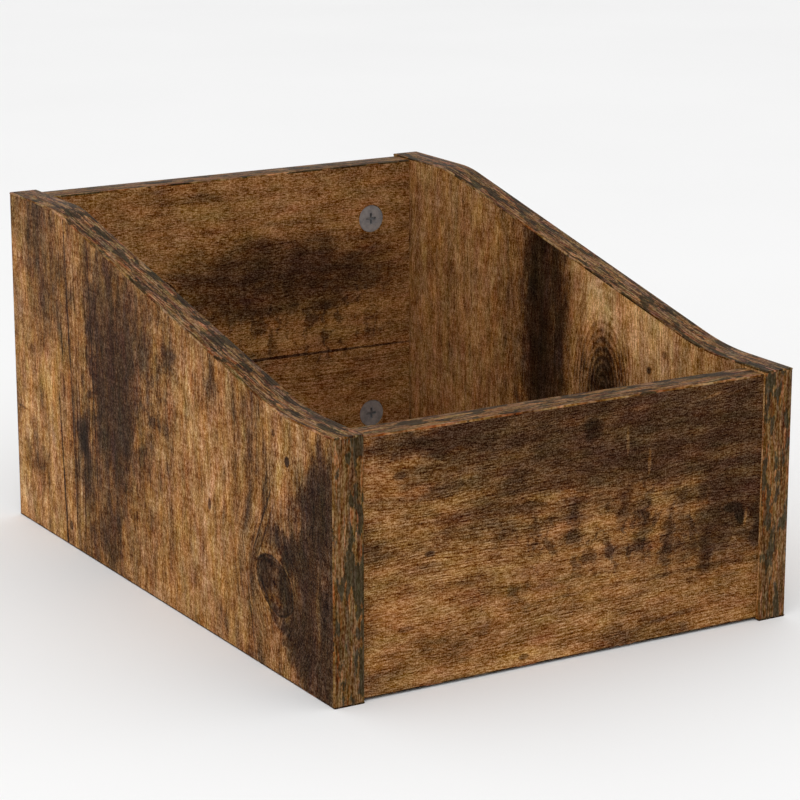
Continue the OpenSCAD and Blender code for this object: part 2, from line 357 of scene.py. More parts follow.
def toneOf(tree, place, flow, faces, board):
    # the shade follows the tone, from 0, burnt, to 1, bleached
    noise = decor["noise"]
    seed = board["seed"]
    torn = centredCloud(tree, place, noise["torn"], seed)
    ragged = calcVector(tree, "MULTIPLY_ADD", torn, decor["torn"], place)
    frayed = centredCloud(tree, place, noise["frayed"], seed)
    uneven = calcVector(tree, "MULTIPLY_ADD", frayed, decor["frayed"], place)
    wavy = calcVector(tree, "MULTIPLY_ADD", frayed, decor["wavy"], place)
    tone = decor["level"] + board["level"]
    stained = 0.0
    for mark in board["marks"]:
        soft, dark = mark[6:]
        large = soft > decor["raggedSoft"] and min(mark[3:5]) >= decor["raggedFrom"]
        base = ragged if large else uneven if soft > decor["unevenSoft"] else wavy
        layer = fade(tree, base, faces, mark)
        if large and dark > 0:
            stained = calc(tree, "ADD", stained, layer)
        else:
            tone = calc(tree, "SUBTRACT", tone, layer)
    if board["blots"]:
        smudge = spread(tree, cloud(tree, uneven, noise["smudges"], seed), *decor["smudgedFrom"])
    for blot in board["blots"]:
        stained = calc(tree, "MULTIPLY_ADD", smudge, fade(tree, ragged, faces, blot), stained)
    for plank in board["planks"]:
        cut, dark = plank[6:]
        near = fromOval(tree, wavy, faces, plank)
        stained = calc(tree, "MULTIPLY", stained, spread(tree, near, *decor["cutEdge"], 1 - cut, 1.0))
        tone = calc(tree, "SUBTRACT", tone, spread(tree, near, *decor["plankEdge"], dark, 0.0))

    # the more stains lie on each other, the less each adds, and the calmer the figure is
    limit = decor["stainLimit"]
    clean = calc(tree, "EXPONENT", calc(tree, "MULTIPLY", stained, -1 / limit))
    tone = calc(tree, "MULTIPLY_ADD", calc(tree, "SUBTRACT", 1.0, clean), -limit, tone)
    calm = calc(tree, "MULTIPLY_ADD", clean, 1 - decor["calm"], decor["calm"])
    tone = calc(tree, "MULTIPLY_ADD", figureOf(tree, flow, board), calm, tone)
    return withKnots(tree, tone, wavy, faces, board)


def withKnots(tree, tone, wavy, faces, board):
    # a knot is dark, has a darker rim and lies in rings
    for knot in board["knots"]:
        dark, rings, strength = knot[7:]
        near = fromOval(tree, wavy, faces, knot)
        tone = calc(tree, "SUBTRACT", tone, spread(tree, near, *decor["knotEdge"], dark, 0.0))
        wave = calc(tree, "SINE", calc(tree, "MULTIPLY", near, rings))
        reach = spread(tree, near, *decor["ringsEdge"], strength, 0.0)
        tone = calc(tree, "MULTIPLY_ADD", wave, reach, tone)
        offRim = calc(tree, "ABSOLUTE", calc(tree, "SUBTRACT", near, 1.0))
        rim = spread(tree, offRim, 0.0, decor["rimWidth"], decor["knotRim"] * dark, 0.0)
        tone = calc(tree, "SUBTRACT", tone, rim)
    return tone


def combOf(tree, flow, board):
    # parallel lines that wander and fade out here and there
    noise = decor["noise"]
    seed = board["seed"]
    drift = calc(tree, "MULTIPLY", cloud(tree, flow, noise["drift"], seed), decor["drift"])
    turns = calc(tree, "MULTIPLY_ADD", partOf(tree, flow, "Y"), 2 * math.pi / board["stripe"], drift)
    striped = cloud(tree, flow, noise["striped"], (seed[2], seed[0], 0))
    striped = spread(tree, striped, *decor["stripedFrom"])
    return calc(tree, "MULTIPLY", calc(tree, "SINE", turns), striped)


def finePrint(tree, place, flow, tone, faces, board):
    # darkens and lightens a shade without changing its hue, and gives the relief
    noise = decor["noise"]
    seed = board["seed"]
    grain = crisp(tree, cloud(tree, flow, noise["grain"], seed), "fine")
    speckle = crisp(tree, cloud(tree, place, noise["speckle"], seed), "fine")
    saw = crisp(tree, cloud(tree, place, noise["saw"], seed), "broad")
    pores = spread(tree, cloud(tree, flow, noise["pores"], seed), *decor["poresFrom"])
    fine = calc(tree, "MULTIPLY", pores, -decor["pores"])
    fine = addTo(tree, fine, grain, decor["grain"])
    fine = addTo(tree, fine, saw, decor["saw"] * board["lively"])
    comb = combOf(tree, flow, board)
    for stripe in board["stripes"]:
        fine = calc(tree, "MULTIPLY_ADD", comb, fade(tree, place, faces, stripe), fine)
    fine = calc(tree, "MULTIPLY", fine, inDarks(tree, tone, decor["darkGrain"]))
    specks = calc(tree, "MULTIPLY", inDarks(tree, tone, decor["darkSpeckle"]), decor["speckle"])
    fine = addTo(tree, fine, speckle, specks)
    height = calc(tree, "MULTIPLY_ADD", pores, -decor["poreDepth"], grain)
    return fine, height


def huesOf(tree, place, tone, board):
    # small shifts of red, green and blue round 1
    lively = board["lively"]
    seed = moved(board["seed"], decor["huesApart"])
    hues = centredCloud(tree, place, decor["noise"]["hues"], seed)
    hues = calcVector(tree, "MULTIPLY", hues, inDarks(tree, tone, decor["darkTint"]))
    tint = decor["tint"] * (1 + lively)
    blue = tint * (1 + decor["yellow"] * lively)
    # on a lively board the redder spots are the yellower ones too
    blues = calcVector(tree, "DOT_PRODUCT", hues, (blue * (1 - lively), 0, blue))
    hues = calcVector(tree, "MULTIPLY_ADD", hues, (tint, tint, 0), (1, 1, 1))
    return calcVector(tree, "MULTIPLY_ADD", blues, (0, 0, 1), hues)


def overChipboard(tree, place, faces, shade):
    # the print on the two faces, raw chipboard in the bores between them
    middle = sum(faces.values()) / 2
    reach = abs(faces["outer"] - faces["inner"]) / 2
    depth = calc(tree, "ABSOLUTE", calc(tree, "SUBTRACT", partOf(tree, place, "Z"), middle))
    printed = calc(tree, "GREATER_THAN", depth, reach - decor["skin"])
    chips = tree.nodes.new("ShaderNodeTexVoronoi")
    chips.inputs["Scale"].default_value = decor["chipsPerMillimetre"]
    tree.links.new(place, chips.inputs["Vector"])
    raw = rampOf(tree, chips.outputs["Distance"], decor["chips"])
    return blendOf(tree, printed, raw, shade)


def boardFinish(name, board):
    material, tree, shader = newFinish(name, decor["specular"])
    faces = facesOf(board)
    place = millimetres(tree, board["order"])
    flow = grainFlow(tree, place, faces, board)
    tone = toneOf(tree, place, flow, faces, board)
    fine, height = finePrint(tree, place, flow, tone, faces, board)
    shade = rampOf(tree, tone, decor["shades"], True)
    shade = calcVector(tree, "MULTIPLY_ADD", shade, huesOf(tree, place, tone, board), fine)
    shade = overChipboard(tree, place, faces, toLight(tree, shade))
    rough = spread(tree, tone, 0.0, 1.0, *decor["roughness"])
    closeFinish(tree, shader, shade, rough, height, decor["relief"])
    return material


# Marks, stripes and blots: face, along, across, half length, half width, turn, soft, darkness.
# Knots: the same first six, then push, darkness, rings and the strength of the rings.
# Planks, whose edges cut the stains off: the same first six, then the share cut off and darkness.
# Blots are smudges across the grain, stripes are straight lines along it.
# Outward is 1 where the outer face lies on the plus side of the board, else -1.
# A lively print, above 1, has a stronger mottle and stronger hues.
# Stripe is how many millimetres lie from line to line where the grain is striped.
leftSide = {
    "node": "left_side_panel",
    "order": "ZYX",  # along the grain, across it, through the board
    "outward": -1,
    "level": 0.03,
    "seed": (3.1, 8.4, 1.7),
    "lively": 1.7,
    "stripe": 3.6,
    "marks": [
        ("outer", 140, 122, 36, 20, 0, 0.6, 0.23),  # soft dark by the tall rear
        ("outer", 164, 150, 12, 20, 0, 0.6, 0.22),
        ("outer", 145, 152, 9, 9, 0, 0.6, 0.14),
        ("outer", 130, 140, 22, 9, 0, 0.6, 0.10),
        ("outer", 34, 146, 8, 11, 0, 0.6, 0.16),
        ("outer", 62, 84.5, 10, 6, 0, 0.45, 0.34),  # dark spot with a tail
        ("outer", 45, 81, 15, 6, 0, 0.6, 0.20),
        ("outer", 90, 82, 4, 3, 0, 0.4, 0.12),
        ("outer", 85, 76, 2, 4, 20, 0.3, 0.14),
        ("outer", 114, 47, 54, 27, 0, 0.5, 0.42),  # the large stain
        ("outer", 130, 60, 30, 10, 0, 0.6, 0.16),
        ("outer", 120, 66, 50, 7, 2.6, 0.5, 0.12),
        ("outer", 98, 56, 24, 14, 0, 0.6, 0.18),
        ("outer", 62, 52, 56, 22, 0, 0.5, 0.28),
        ("outer", 12, 56, 24, 12, 0, 0.5, 0.26),
        ("outer", 134, 22, 34, 22, 0, 0.6, 0.19),
        ("outer", 118, 14, 20, 16, 0, 0.6, 0.10),
        ("outer", 58, 27, 40, 14, 0, 0.6, 0.10),
        ("outer", 122, -12, 6, 9, 0, 0.5, 0.16),
        ("outer", 87, 2, 3.5, 13, 0, 0.5, 0.14),
        ("outer", 94, 45, 3, 6, 0, 0.4, 0.08),
        ("outer", 60, 4, 60, 16, 0, 0.7, 0.08),
        ("outer", 124, -24, 30, 30, 0, 0.7, 0.08),
        ("outer", 60, -96, 90, 11, 0, 0.6, 0.11),  # upright soft bands
        ("outer", 50, -92, 70, 3, 0, 0.6, 0.08),
        ("outer", 50, -79, 64, 5, 0, 0.6, 0.11),
        ("outer", 88, -66, 40, 9, 0, 0.6, 0.05),
        ("outer", 124, -55, 14, 5, 0, 0.7, 0.18),
        ("outer", 104, -99.5, 24, 2, -3, 0.4, 0.10),
        ("outer", 118, -80, 12, 8, 0, 0.6, 0.12),  # small soft stains
        ("outer", 80, -113, 26, 5, 0, 0.6, 0.11),
        ("outer", 62, 10, 10, 10, 0, 0.6, 0.12),
        ("outer", 110, 105, 14, 5, 0, 0.6, 0.12),
        ("outer", 99, 136, 10, 9, 0, 0.7, 0.11),
        ("outer", 56, 164, 14, 6, 0, 0.7, 0.10),
        ("outer", 84, -15, 12, 8, 0, 0.7, 0.10),
        ("outer", 8, -114, 8, 10, 0, 0.7, 0.06),
        ("outer", 70, 122, 44, 12, 0, 0.7, -0.08),  # paler fields
        ("outer", 24, 162, 24, 8, 0, 0.7, -0.22),
        ("outer", 56, 152, 15, 9, 0, 0.6, -0.17),
        ("outer", 96, 160, 40, 6, 0, 0.7, -0.10),
        ("outer", 76, -53, 12, 6, 0, 0.6, -0.13),
        ("outer", 108, -34, 24, 14, 0, 0.7, -0.15),
        ("outer", 14, -20, 16, 10, 0, 0.7, -0.12),
        ("outer", 9, 115, 9, 8, 0, 0.7, -0.16),
        ("outer", 39, 31, 12, 7, 0, 0.6, -0.16),
        ("outer", 80, 24, 9, 10, 0, 0.6, -0.13),
        ("outer", 131, 6, 8, 8, 0, 0.6, -0.15),
        ("outer", 62, 151, 34, 7, 0, 0.7, -0.09),
        ("outer", 8, 151, 8, 8, 0, 0.7, -0.14),
        ("outer", 121, 99.4, 60, 0.9, 3.8, 0.3, 0.19),  # seams of the planks
        ("outer", 121, 102, 58, 2.2, 3.8, 0.3, 0.05),
        ("outer", 118, 107.4, 52, 0.6, 2, 0.3, 0.09),
        ("outer", 40, 95.6, 50, 0.6, 2, 0.3, 0.09),
        ("outer", 99, 72, 66, 0.9, 2.6, 0.3, 0.19),
        ("outer", 99, 74, 60, 1.6, 2.6, 0.3, 0.05),
        ("outer", 33, 109.2, 46, 1.0, 4.2, 0.3, 0.34),
        ("outer", 20, 108, 26, 1.4, 4.2, 0.3, 0.12),
        ("outer", 11, 102, 2.4, 2, 0, 0.3, 0.24),
        ("outer", 81, 140.5, 9, 0.6, 10, 0.3, 0.18),  # fine cracks
        ("outer", 60, 160, 0.6, 8, 0, 0.3, 0.12),
        ("outer", 26, -91, 32, 0.6, 12, 0.3, 0.16),
        ("outer", 69, -104, 22, 0.6, -28, 0.3, 0.18),
        ("outer", 66, -108, 20, 0.5, -30, 0.3, 0.14),
        ("outer", 72, -101, 24, 0.5, -22, 0.3, 0.12),
        ("outer", 62, -52.6, 3, 1.5, 0, 0.3, 0.40),  # nail holes
        ("outer", 100.2, -127, 2.4, 2.0, 0, 0.3, 0.40),
        ("outer", 110, -115, 1.6, 1.6, 0, 0.3, 0.16),
        ("outer", 12, -65, 4, 3, 0, 0.5, 0.10),
        ("outer", 62, -160, 50, 26, 0, 0.5, 0.62),  # burnt corner
        ("outer", 61, -134, 11, 14, 0, 0.5, 0.42),
        ("outer", 20, -150, 30, 21, -10, 0.5, 0.56),
        ("outer", 40, -138, 26, 13, 0, 0.5, 0.36),
        ("outer", 18, -139, 16, 10, -30, 0.5, 0.30),
        ("outer", 26, -128, 7, 9, -40, 0.5, 0.30),
        ("outer", 62, -126, 8, 8, 0, 0.5, 0.34),
        ("outer", 57, -111, 9, 10, 0, 0.6, 0.24),
        ("outer", 50, -125, 14, 6, -20, 0.4, 0.16),  # beside the knot
        ("outer", 25, -120, 4, 9, -20, 0.4, 0.16),
        ("outer", 44, -107, 9, 6, -30, 0.4, 0.08),  # its darker half and rim
        ("outer", 35.8, -105, 11, 1.1, 36, 0.4, 0.20),
        ("outer", 50.5, -105, 8, 0.9, -69, 0.4, 0.16),
        ("outer", 88, -154, 22, 12, 0, 0.4, 0.16),
        ("outer", 76, -124, 10, 7, 20, 0.6, 0.12),
        ("outer", 36, -153, 13, 3.2, 0, 0.4, -0.12),
        ("inner", 80, 44, 60, 16, 3, 0.6, 0.32),
        ("inner", 60, -70, 46, 14, -4, 0.6, 0.28),
        ("inner", 80, -20, 90, 0.8, 2, 0.3, 0.3),
        ("inner", 55, -110, 3, 2, 0, 0.3, 0.35),
    ],
    "knots": [
        ("outer", 41, -115, 12, 17, -20, 0.75, 0.27, 30, 0.02),
        ("outer", 44, -161, 8, 6, 0, 0.6, 0.05, 14, 0.035),
    ],
    "stripes": [
        ("outer", 96, 86, 90, 13, 2.8, 0.3, 0.07),
        ("outer", 30, 96, 60, 14, 2.8, 0.4, 0.05),
        ("outer", 110, -118, 40, 30, 0, 0.4, 0.05),
        ("outer", 60, -30, 140, 40, 0, 0.5, 0.03),
    ],
    "blots": [
        ("outer", 112, -2, 34, 26, 0, 0.5, 0.17),
        ("outer", 40, 145, 40, 16, 0, 0.6, 0.10),
        ("outer", 60, 30, 50, 20, 0, 0.6, 0.12),
    ],
    "planks": [
        ("outer", 99, 85.7, 800, 13.6, 2.8, 0.95, 0.17),
    ],
}
rightSide = {
    "node": "right_side_panel",
    "order": "ZYX",  # along the grain, across it, through the board
    "outward": 1,
    "level": 0.05,
    "seed": (11.6, 2.9, 5.3),
    "lively": 1.5,
    "stripe": 2.4,
    "marks": [
        ("inner", 100, 14, 90, 19, 0, 0.4, 0.42),  # the dark band, with the next mark: a dark stain and a painted shadow of the absent records' edge
        ("inner", 100, 34, 80, 18, 0, 0.7, 0.2),
        ("inner", 82, -37, 29, 12, 0, 0.4, 0.18),  # the arched figure
        ("inner", 80, -38, 32, 21, 0, 0.6, 0.22),
        ("inner", 126, -36, 8, 13, 0, 0.6, -0.14),  # paler fields, high on the inner face
        ("inner", 124, -66, 28, 44, 0, 0.6, -0.23),
        ("inner", 112, -24, 34, 4, 0, 0.6, -0.12),
        ("inner", 101, -75.8, 2, 2, 0, 0.3, 0.4),  # nail holes
        ("inner", 111, -88.5, 2, 2, 0, 0.3, 0.3),
        ("outer", 126, 62, 46, 24, 6, 0.5, 0.46),  # stains
        ("outer", 84, 46, 40, 16, 0, 0.6, 0.26),
        ("outer", 60, -40, 44, 14, 0, 0.6, 0.30),
        ("outer", 30, -22, 24, 12, 0, 0.6, 0.20),
        ("outer", 40, -152, 56, 16, 10, 0.5, 0.62),
        ("outer", 14, -138, 22, 18, 0, 0.5, 0.40),
        ("outer", 20, 150, 30, 14, 0, 0.6, 0.34),
        ("outer", 90, -110, 40, 10, 0, 0.7, -0.08),
        ("outer", 80, 20, 90, 0.8, 2, 0.3, 0.34),  # seams and a nail hole
        ("outer", 90, -78, 80, 0.7, -2, 0.3, 0.32),
        ("outer", 96, 110, 2.4, 2, 0, 0.3, 0.4),
    ],
    "knots": [
        ("outer", 62, 104, 11, 9, 12, 0.75, 0.28, 24, 0.035),
        ("inner", 82, -37, 35, 20, 0, 0.4, 0.08, 48.3, 0.10),
    ],
    "stripes": [
        ("outer", 90, -70, 120, 16, 1, 0.4, 0.06),
        ("inner", 100, -80, 120, 40, 0, 0.4, 0.06),
    ],
    "blots": [
        ("outer", 70, -10, 40, 40, 0, 0.5, 0.26),
    ],
    "planks": [],
}
frontBoard = {
    "node": "front_panel",
    "order": "XZY",  # along the grain, across it, through the board
    "outward": -1,
    "level": -0.06,
    "seed": (6.2, 14.3, 2.4),
    "lively": 1.0,
    "stripe": 1.4,
    "marks": [
        ("outer", 30, 105, 90, 24, -2, 0.5, 0.36),  # the dark upper zone
        ("outer", -70, 113, 28, 8, -3, 0.5, 0.38),
        ("outer", -68, 94, 18, 8, 0, 0.6, 0.22),
        ("outer", 26, 78, 60, 11, 0, 0.6, 0.15),
        ("outer", 92, 65, 22, 26, 0, 0.5, 0.36),
        ("outer", 66, 54, 16, 22, 0, 0.6, 0.10),
        ("outer", -38, 75, 22, 4.5, 0, 0.6, 0.11),
        ("outer", 11.6, 105, 4.6, 4.4, 0, 0.4, 0.22),
        ("outer", 3, 62, 3.4, 9, 0, 0.7, 0.13),  # upright smudges across the grain
        ("outer", 29, 62, 3, 8, 0, 0.7, 0.14),
        ("outer", 39, 55, 4.8, 13, 0, 0.7, 0.22),
        ("outer", 53, 42, 3, 10, 0, 0.7, 0.18),
        ("outer", 55, 53, 3, 5, 0, 0.7, 0.14),
        ("outer", 20, 49, 2.4, 2, 0, 0.7, 0.10),
        ("outer", 75, 38, 4, 7, 0, 0.7, 0.19),
        ("outer", 61, 64, 3, 6, 0, 0.7, 0.10),
        ("outer", 104, 46, 2.4, 12, 0, 0.7, 0.16),
        ("outer", -28.5, 34, 3, 6, 0, 0.7, 0.11),
        ("outer", 94.4, 53.6, 2.3, 4.6, 10, 0.3, 0.34),  # knot hole
        ("outer", 90.5, 57.4, 5.4, 2.3, 0, 0.3, 0.28),
        ("outer", 97.8, 52, 0.8, 4.4, -10, 0.3, -0.16),
        ("outer", -72, 61.4, 2.6, 1.4, 0, 0.3, 0.20),  # nail holes
        ("outer", -84, 29, 4, 1.2, 0, 0.3, 0.16),
        ("outer", -23.4, 5.4, 2.8, 1.4, 0, 0.3, 0.32),
        ("outer", -87.7, 98.3, 3, 1.8, 0, 0.3, 0.10),
        ("outer", -98, 67, 9, 4, 0, 0.7, 0.12),  # small soft stains
        ("outer", -74, 17, 18, 4, 0, 0.7, 0.10),
        ("outer", -92, 10, 8, 4, 0, 0.6, 0.08),
        ("outer", 30, 31, 48, 1.2, 1, 0.3, 0.08),
        ("outer", 62, 11, 20, 1.2, 6, 0.3, 0.10),
        ("outer", 28, 4.5, 16, 3.4, 0, 0.6, 0.16),
        ("outer", -45, 66, 34, 5, 0, 0.6, 0.08),
        ("outer", -52, 45, 12, 5, 0, 0.6, 0.07),
        ("outer", -104, 60, 8, 60, 0, 0.6, 0.06),
        ("outer", 10, 115, 14, 4, 0, 0.6, 0.10),
        ("outer", 94, 114, 9, 4, 0, 0.6, 0.11),
        ("outer", -72, 115, 12, 4, 0, 0.6, 0.09),
        ("outer", -32, 85, 12, 5, 0, 0.6, 0.10),
        ("outer", 18, 71, 11, 7, 0, 0.6, 0.09),
        ("outer", 29, 45, 8, 4, 0, 0.6, 0.10),
        ("outer", 84, 30, 9, 8, 0, 0.7, 0.12),
        ("outer", 64, 55, 4, 4, 0, 0.7, 0.10),
        ("outer", 58, 5, 9, 3, 0, 0.6, 0.10),
        ("outer", -86, 46, 7, 4, 0, 0.7, 0.09),
        ("outer", -80, 38, 22, 10, 0, 0.7, -0.12),  # paler fields
        ("outer", -8, 77, 20, 1.8, -1, 0.4, -0.12),
        ("outer", 31, 97, 0.9, 6, 0, 0.3, -0.12),
        ("outer", 43, 86, 0.9, 6, 0, 0.3, -0.14),
        ("outer", 76, 112, 6, 0.6, 12, 0.3, -0.10),
        ("outer", 90, 112, 5, 0.6, 5, 0.3, -0.10),
        ("outer", 15, 58, 6, 9, 0, 0.7, -0.05),
        ("outer", 47, 69, 4, 3, 0, 0.6, -0.12),
        ("outer", 24, 37, 20, 3.6, 0, 0.6, -0.09),
        ("outer", -28, 35, 16, 4, 0, 0.6, -0.07),
        ("outer", 90, 85, 14, 4, 0, 0.6, -0.12),
        ("outer", 12, 15, 14, 4, 0, 0.6, -0.16),
        ("outer", 70, 15, 10, 4, 0, 0.6, -0.13),
        ("outer", 95, 45, 5, 5, 0, 0.7, -0.10),
        ("outer", 80, 6, 9, 4, 0, 0.6, -0.10),
        ("outer", -14, 4, 24, 3.6, 0, 0.6, -0.22),
        ("outer", -58, 5, 22, 4, 0, 0.7, -0.10),
        ("inner", 30, 60, 70, 16, 2, 0.6, 0.30),
        ("inner", -60, 90, 40, 10, 0, 0.7, 0.16),
        ("inner", -35, 40, 3, 2, 0, 0.3, 0.35),
    ],
    "knots": [],
    "stripes": [
        ("outer", -50, 70, 60, 24, 0, 0.4, 0.07),
        ("outer", 20, 12, 90, 20, 0, 0.5, 0.05),
        ("outer", 76, 72, 34, 9, 0, 0.5, 0.06),
    ],
    "blots": [
        ("outer", 30, 56, 56, 18, 0, 0.5, 0.20),
        ("outer", -30, 34, 40, 10, 0, 0.6, 0.08),
    ],
    "planks": [],
}
backBoard = {
    "node": "back_panel",
    "order": "XZY",  # along the grain, across it, through the board
    "outward": 1,
    "level": -0.02,
    "seed": (17.9, 4.6, 9.1),
    "lively": 1.0,
    "stripe": 2.4,
    "marks": [
        ("outer", -30, 124, 70, 24, 4, 0.5, 0.44),
        ("outer", 30, 116, 40, 14, 0, 0.6, 0.20),
        ("outer", 62, 48, 44, 16, -3, 0.6, 0.32),
        ("outer", -80, 24, 34, 14, 0, 0.6, 0.30),
        ("outer", 0, 86, 120, 0.8, 0.6, 0.3, 0.34),
        ("outer", -60, 40, 3, 2, 0, 0.4, 0.4),
        ("inner", 20, 112, 60, 20, 0, 0.6, 0.38),
        ("inner", -70, 50, 30, 14, 0, 0.6, 0.24),
        ("inner", 0, 70, 120, 0.8, -0.6, 0.3, 0.34),
    ],
    "knots": [
        ("outer", 52, 118, 13, 8, 8, 0.75, 0.28, 24, 0.035),
        ("inner", -48, 112, 12, 8, -10, 0.75, 0.28, 24, 0.035),
    ],
    "stripes": [
        ("outer", 0, 96, 130, 14, 0.6, 0.4, 0.06),
        ("inner", 0, 60, 130, 12, 0, 0.4, 0.06),
    ],
    "blots": [
        ("outer", -40, 60, 50, 26, 0, 0.5, 0.26),
        ("inner", 40, 90, 50, 26, 0, 0.5, 0.26),
    ],
    "planks": [],
}
bottomBoard = {
    "node": "bottom_panel",
    "order": "YXZ",  # along the grain, across it, through the board
    "outward": -1,
    "level": -0.04,
    "seed": (1.4, 19.8, 6.6),
    "lively": 1.0,
    "stripe": 2.4,
    "marks": [
        ("inner", -40, 30, 70, 22, 3, 0.6, 0.34),
        ("inner", 70, -50, 50, 18, -2, 0.6, 0.28),
        ("inner", 0, -18, 170, 0.8, 0.5, 0.3, 0.32),
        ("outer", 20, 20, 90, 24, 2, 0.6, 0.32),
        ("outer", 0, 40, 170, 0.8, -0.4, 0.3, 0.32),
    ],
    "knots": [
        ("inner", 30, 62, 12, 8, 6, 0.75, 0.26, 24, 0.035),
    ],
    "stripes": [
        ("inner", 0, -30, 180, 12, 0.5, 0.4, 0.06),
        ("outer", 0, 50, 180, 12, 0, 0.4, 0.06),
    ],
    "blots": [],
    "planks": [],
}
boards = {
    "leftSideDecor": leftSide,
    "rightSideDecor": rightSide,
    "frontDecor": frontBoard,
    "backDecor": backBoard,
    "bottomDecor": bottomBoard,
}
for name, board in boards.items():
    wear(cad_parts[board["node"]], boardFinish(name, board))
print("boards: %d printed decors" % len(boards))


# Edging strips, modelled in place of the flat CAD strips so that their outer arrises are rounded
edging = {
    "thick": 0.0008,  # metres
    "arris": 0.0005,  # metres
    "arrisSteps": 3,
    "smooth": 32,  # degrees, sharper edges stay crisp
    "specular": 0.03,
    "roughness": (0.44, 0.56),
    "relief": 0.1,  # millimetres
    "level": 0.47,
    "bands": 0.24,
    "arrisWearAndHighlight": 0.14,  # how much paler the strip is along its two rounded arrises: lighter wear and a painted highlight
    "arrisWearAndHighlightFrom": (6.7, 7.45),  # millimetres from its centre line
    "lines": 0.135,
    "speckle": 0.135,
    "tint": 0.085,
    "rustCover": 0.55,
    "rustFrom": (0.55, 0.63),
    "coalCover": 0.85,
    "coalFrom": (0.53, 0.56),
    "inCoal": 0.5,  # share of the lines and hues that is left on the charcoal
    "inwards": (0.008, -0.002),  # more charcoal inwards: left and front strips, right and back strips
    "rust": (154, 95, 58),
    "coal": (56, 49, 36),
    "char": (46, 35, 18),
    "flat": (1, 1, 0.02),  # the print hardly changes through the strip
    "wander": (0, 3.4, 0),
    "rustApart": (0, 5, 3),
    "coalApart": (4, 9, 0),
    "huesApart": (7, 0, 0),
    "noise": {  # cell in millimetres along, across and through the strip, detail, roughness
        "wander": ((24, 8, 9), 3, 0.6),
        "bands": ((24, 2.8, 9), 3, 0.6),
        "rust": ((16, 1.3, 9), 3, 0.6),
        "coal": ((14, 3.8, 9), 5, 0.6),
        "lines": ((16, 0.75, 9), 2, 0.6),
        "speckle": ((1.5, 0.8, 9), 1, 0.6),
        "hues": ((9, 1.8, 9), 2, 0.6),
    },
    "shades": [
        (0.00, (42, 31, 20)),
        (0.25, (62, 45, 28)),
        (0.45, (90, 64, 38)),
        (0.65, (114, 82, 48)),
        (0.85, (138, 100, 60)),
        # the palest shade is greyer and bluer: the print's colour with a painted sheen
        (1.00, (162, 122, 84)),
    ],
}


def middleOf(name, letter):
    # where a node's middle lies on one axis, in millimetres
    side = "XYZ".index(letter)
    low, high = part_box(name)
    return 1000 * (low[side] + high[side]) / 2


def edgingFinish(name, node, strip, seed):
    material, tree, shader = newFinish(name, edging["specular"])
    noise = edging["noise"]
    bold = strip["bold"]
    middle = middleOf(node, strip["order"][1])
    place = calcVector(tree, "MULTIPLY", millimetres(tree, strip["order"]), edging["flat"])
    offsets = centredCloud(tree, place, noise["wander"], seed)
    flow = calcVector(tree, "MULTIPLY_ADD", offsets, edging["wander"], place)
    across = calc(tree, "SUBTRACT", partOf(tree, place, "Y"), middle)
    bands = crisp(tree, cloud(tree, flow, noise["bands"], seed), "broad")
    tone = addTo(tree, edging["level"] + strip["bright"], bands, edging["bands"] * bold)
    # lighter wear and a painted highlight along both rounded arrises
    arrisWearAndHighlight = spread(tree, calc(tree, "ABSOLUTE", across), *edging["arrisWearAndHighlightFrom"])
    tone = calc(tree, "MULTIPLY_ADD", arrisWearAndHighlight, edging["arrisWearAndHighlight"], tone)
    shade = rampOf(tree, tone, edging["shades"], True)
    rust = cloud(tree, flow, noise["rust"], moved(seed, edging["rustApart"]))
    rust = spread(tree, rust, *edging["rustFrom"], 0.0, edging["rustCover"])
    shade = blendOf(tree, rust, shade, seen(edging["rust"]))
    # ragged charcoal patches, pulled out along the strip and more of them towards the crate's inside
    coal = cloud(tree, flow, noise["coal"], moved(seed, edging["coalApart"]))
    coal = calc(tree, "MULTIPLY_ADD", across, edging["inwards"][1 if middle > 0 else 0], coal)
    coal = spread(tree, coal, *edging["coalFrom"], 0.0, edging["coalCover"])
    shade = blendOf(tree, coal, shade, seen(edging[strip["burnt"]]))
    # fine print, calmer on the charcoal
    lines = crisp(tree, cloud(tree, flow, noise["lines"], seed), "fine")
    speckle = crisp(tree, cloud(tree, place, noise["speckle"], seed), "fine")
    fine = addTo(tree, addTo(tree, 0.0, lines, edging["lines"] * bold), speckle, edging["speckle"])
    calm = spread(tree, coal, 0.0, edging["coalCover"], 1.0, edging["inCoal"])
    fine = calc(tree, "MULTIPLY", fine, calm)
    hues = centredCloud(tree, flow, noise["hues"], moved(seed, edging["huesApart"]))
    hues = calcVector(tree, "MULTIPLY", hues, calm)
    shade = calcVector(tree, "MULTIPLY_ADD", hues, (edging["tint"] * bold,) * 3, shade)
    shade = toLight(tree, calcVector(tree, "ADD", shade, fine))
    rough = spread(tree, tone, 0.0, 1.0, *edging["roughness"])
    closeFinish(tree, shader, shade, rough, lines, edging["relief"])
    return material


def selectOnly(piece):
    bpy.ops.object.select_all(action="DESELECT")
    piece.select_set(True)
    bpy.context.view_layer.objects.active = piece


def editMode(piece):
    selectOnly(piece)
    bpy.ops.object.mode_set(mode="EDIT")


def pickEdges(piece, wanted):
    # selects, in edit mode, the edges whose two ends pass the test
    bpy.ops.object.mode_set(mode="OBJECT")
    for part in list(piece.data.vertices) + list(piece.data.edges) + list(piece.data.polygons):
        part.select = False
    for edge in piece.data.edges:
        ends = [piece.data.vertices[i].co for i in edge.vertices]
        edge.select = wanted(*ends)
    bpy.ops.object.mode_set(mode="EDIT")
    bpy.ops.mesh.select_mode(type="EDGE")


def finishStrip(piece, name, material):
    selectOnly(piece)
    bpy.ops.object.shade_smooth_by_angle(angle=math.radians(edging["smooth"]))
    wear(piece, material)
    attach(piece, "root")
    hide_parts(name)


